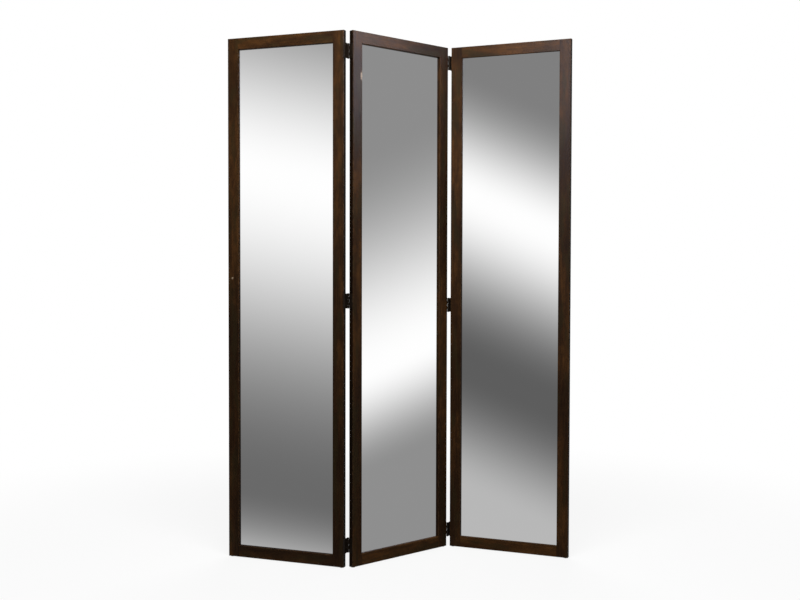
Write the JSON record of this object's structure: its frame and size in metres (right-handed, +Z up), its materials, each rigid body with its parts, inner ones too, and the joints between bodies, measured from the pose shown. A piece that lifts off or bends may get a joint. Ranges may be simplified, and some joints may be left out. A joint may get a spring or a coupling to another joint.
{
  "type": "three panel floor mirror",
  "caption": "Free-standing folding floor mirror: tall framed mirror panels joined by two-way screen hinges, so each outer panel folds to the front or to the back.",
  "frame": {"origin": "middle of the bounding box on the floor, with the screen standing as pictured", "axes": "+Z up, -Y the side the mirrors look towards, +X to the right seen from there"},
  "size_m": [1.189, 0.3178, 1.8],
  "materials": {
    "stile_wood": "dark walnut stain under satin lacquer, grain upright",
    "rail_wood": "dark walnut stain under satin lacquer, grain level",
    "bead_wood": "dark walnut stain, matte",
    "mirror_glass": "silvered float glass",
    "hardboard": "brown hardboard, smooth side out",
    "dowel_wood": "plain beech",
    "pin_steel": "bright drawn wire",
    "glide_nylon": "dark nylon",
    "hinge_bronze": "steel with a worn oil-rubbed bronze finish",
    "hinge_pin_steel": "steel, darkened, ends rubbed bright",
    "screw_bronze": "steel, bronzed to match the hinges",
    "catch_metal": "dull aged brass"
  },
  "bodies": {
    "middle_panel": {"middle_panel_left_stile": "stile_wood", "middle_panel_right_stile": "stile_wood", "middle_panel_top_rail": "rail_wood", "middle_panel_bottom_rail": "rail_wood", "middle_panel_mirror": "mirror_glass", "middle_panel_backing_board": "hardboard", "middle_panel_side_beads": "bead_wood", "middle_panel_end_beads": "bead_wood", "middle_panel_bead_pins": "pin_steel", "middle_panel_dowels": "dowel_wood", "middle_panel_glides": "glide_nylon", "left_hinge_bottom_right_leaf": "hinge_bronze", "left_hinge_middle_right_leaf": "hinge_bronze", "left_hinge_top_right_leaf": "hinge_bronze", "left_hinge_right_screws": "screw_bronze", "right_hinge_bottom_left_leaf": "hinge_bronze", "right_hinge_middle_left_leaf": "hinge_bronze", "right_hinge_top_left_leaf": "hinge_bronze", "right_hinge_left_screws": "screw_bronze"},
    "left_links": {"left_hinge_bottom_link": "hinge_bronze", "left_hinge_middle_link": "hinge_bronze", "left_hinge_top_link": "hinge_bronze", "left_hinge_pins": "hinge_pin_steel"},
    "left_panel": {"left_panel_left_stile": "stile_wood", "left_panel_right_stile": "stile_wood", "left_panel_top_rail": "rail_wood", "left_panel_bottom_rail": "rail_wood", "left_panel_mirror": "mirror_glass", "left_panel_backing_board": "hardboard", "left_panel_side_beads": "bead_wood", "left_panel_end_beads": "bead_wood", "left_panel_bead_pins": "pin_steel", "left_panel_dowels": "dowel_wood", "left_panel_glides": "glide_nylon", "left_hinge_bottom_left_leaf": "hinge_bronze", "left_hinge_middle_left_leaf": "hinge_bronze", "left_hinge_top_left_leaf": "hinge_bronze", "left_hinge_left_screws": "screw_bronze", "catch_pin": "catch_metal"},
    "right_links": {"right_hinge_bottom_link": "hinge_bronze", "right_hinge_middle_link": "hinge_bronze", "right_hinge_top_link": "hinge_bronze", "right_hinge_pins": "hinge_pin_steel"},
    "right_panel": {"right_panel_left_stile": "stile_wood", "right_panel_right_stile": "stile_wood", "right_panel_top_rail": "rail_wood", "right_panel_bottom_rail": "rail_wood", "right_panel_mirror": "mirror_glass", "right_panel_backing_board": "hardboard", "right_panel_side_beads": "bead_wood", "right_panel_end_beads": "bead_wood", "right_panel_bead_pins": "pin_steel", "right_panel_dowels": "dowel_wood", "right_panel_glides": "glide_nylon", "right_hinge_bottom_right_leaf": "hinge_bronze", "right_hinge_middle_right_leaf": "hinge_bronze", "right_hinge_top_right_leaf": "hinge_bronze", "right_hinge_right_screws": "screw_bronze"}
  },
  "joints": [
    {"name": "left_fold", "type": "hinge", "parent": "middle_panel", "child": "left_links", "pos_m": [-0.17159, -0.13583, 0.901], "axis": [0, 0, -1], "range_deg": [-61, 119]},
    {"name": "left_reverse_fold", "type": "hinge", "parent": "left_links", "child": "left_panel", "pos_m": [-0.18388, -0.15583, 0.901], "axis": [0, 0, 1], "range_deg": [0, 90]},
    {"name": "right_fold", "type": "hinge", "parent": "middle_panel", "child": "right_links", "pos_m": [0.17647, 0.13627, 0.901], "axis": [0, 0, -1], "range_deg": [-63, 117]},
    {"name": "right_reverse_fold", "type": "hinge", "parent": "right_links", "child": "right_panel", "pos_m": [0.18945, 0.15583, 0.901], "axis": [0, 0, 1], "range_deg": [0, 90]}
  ]
}
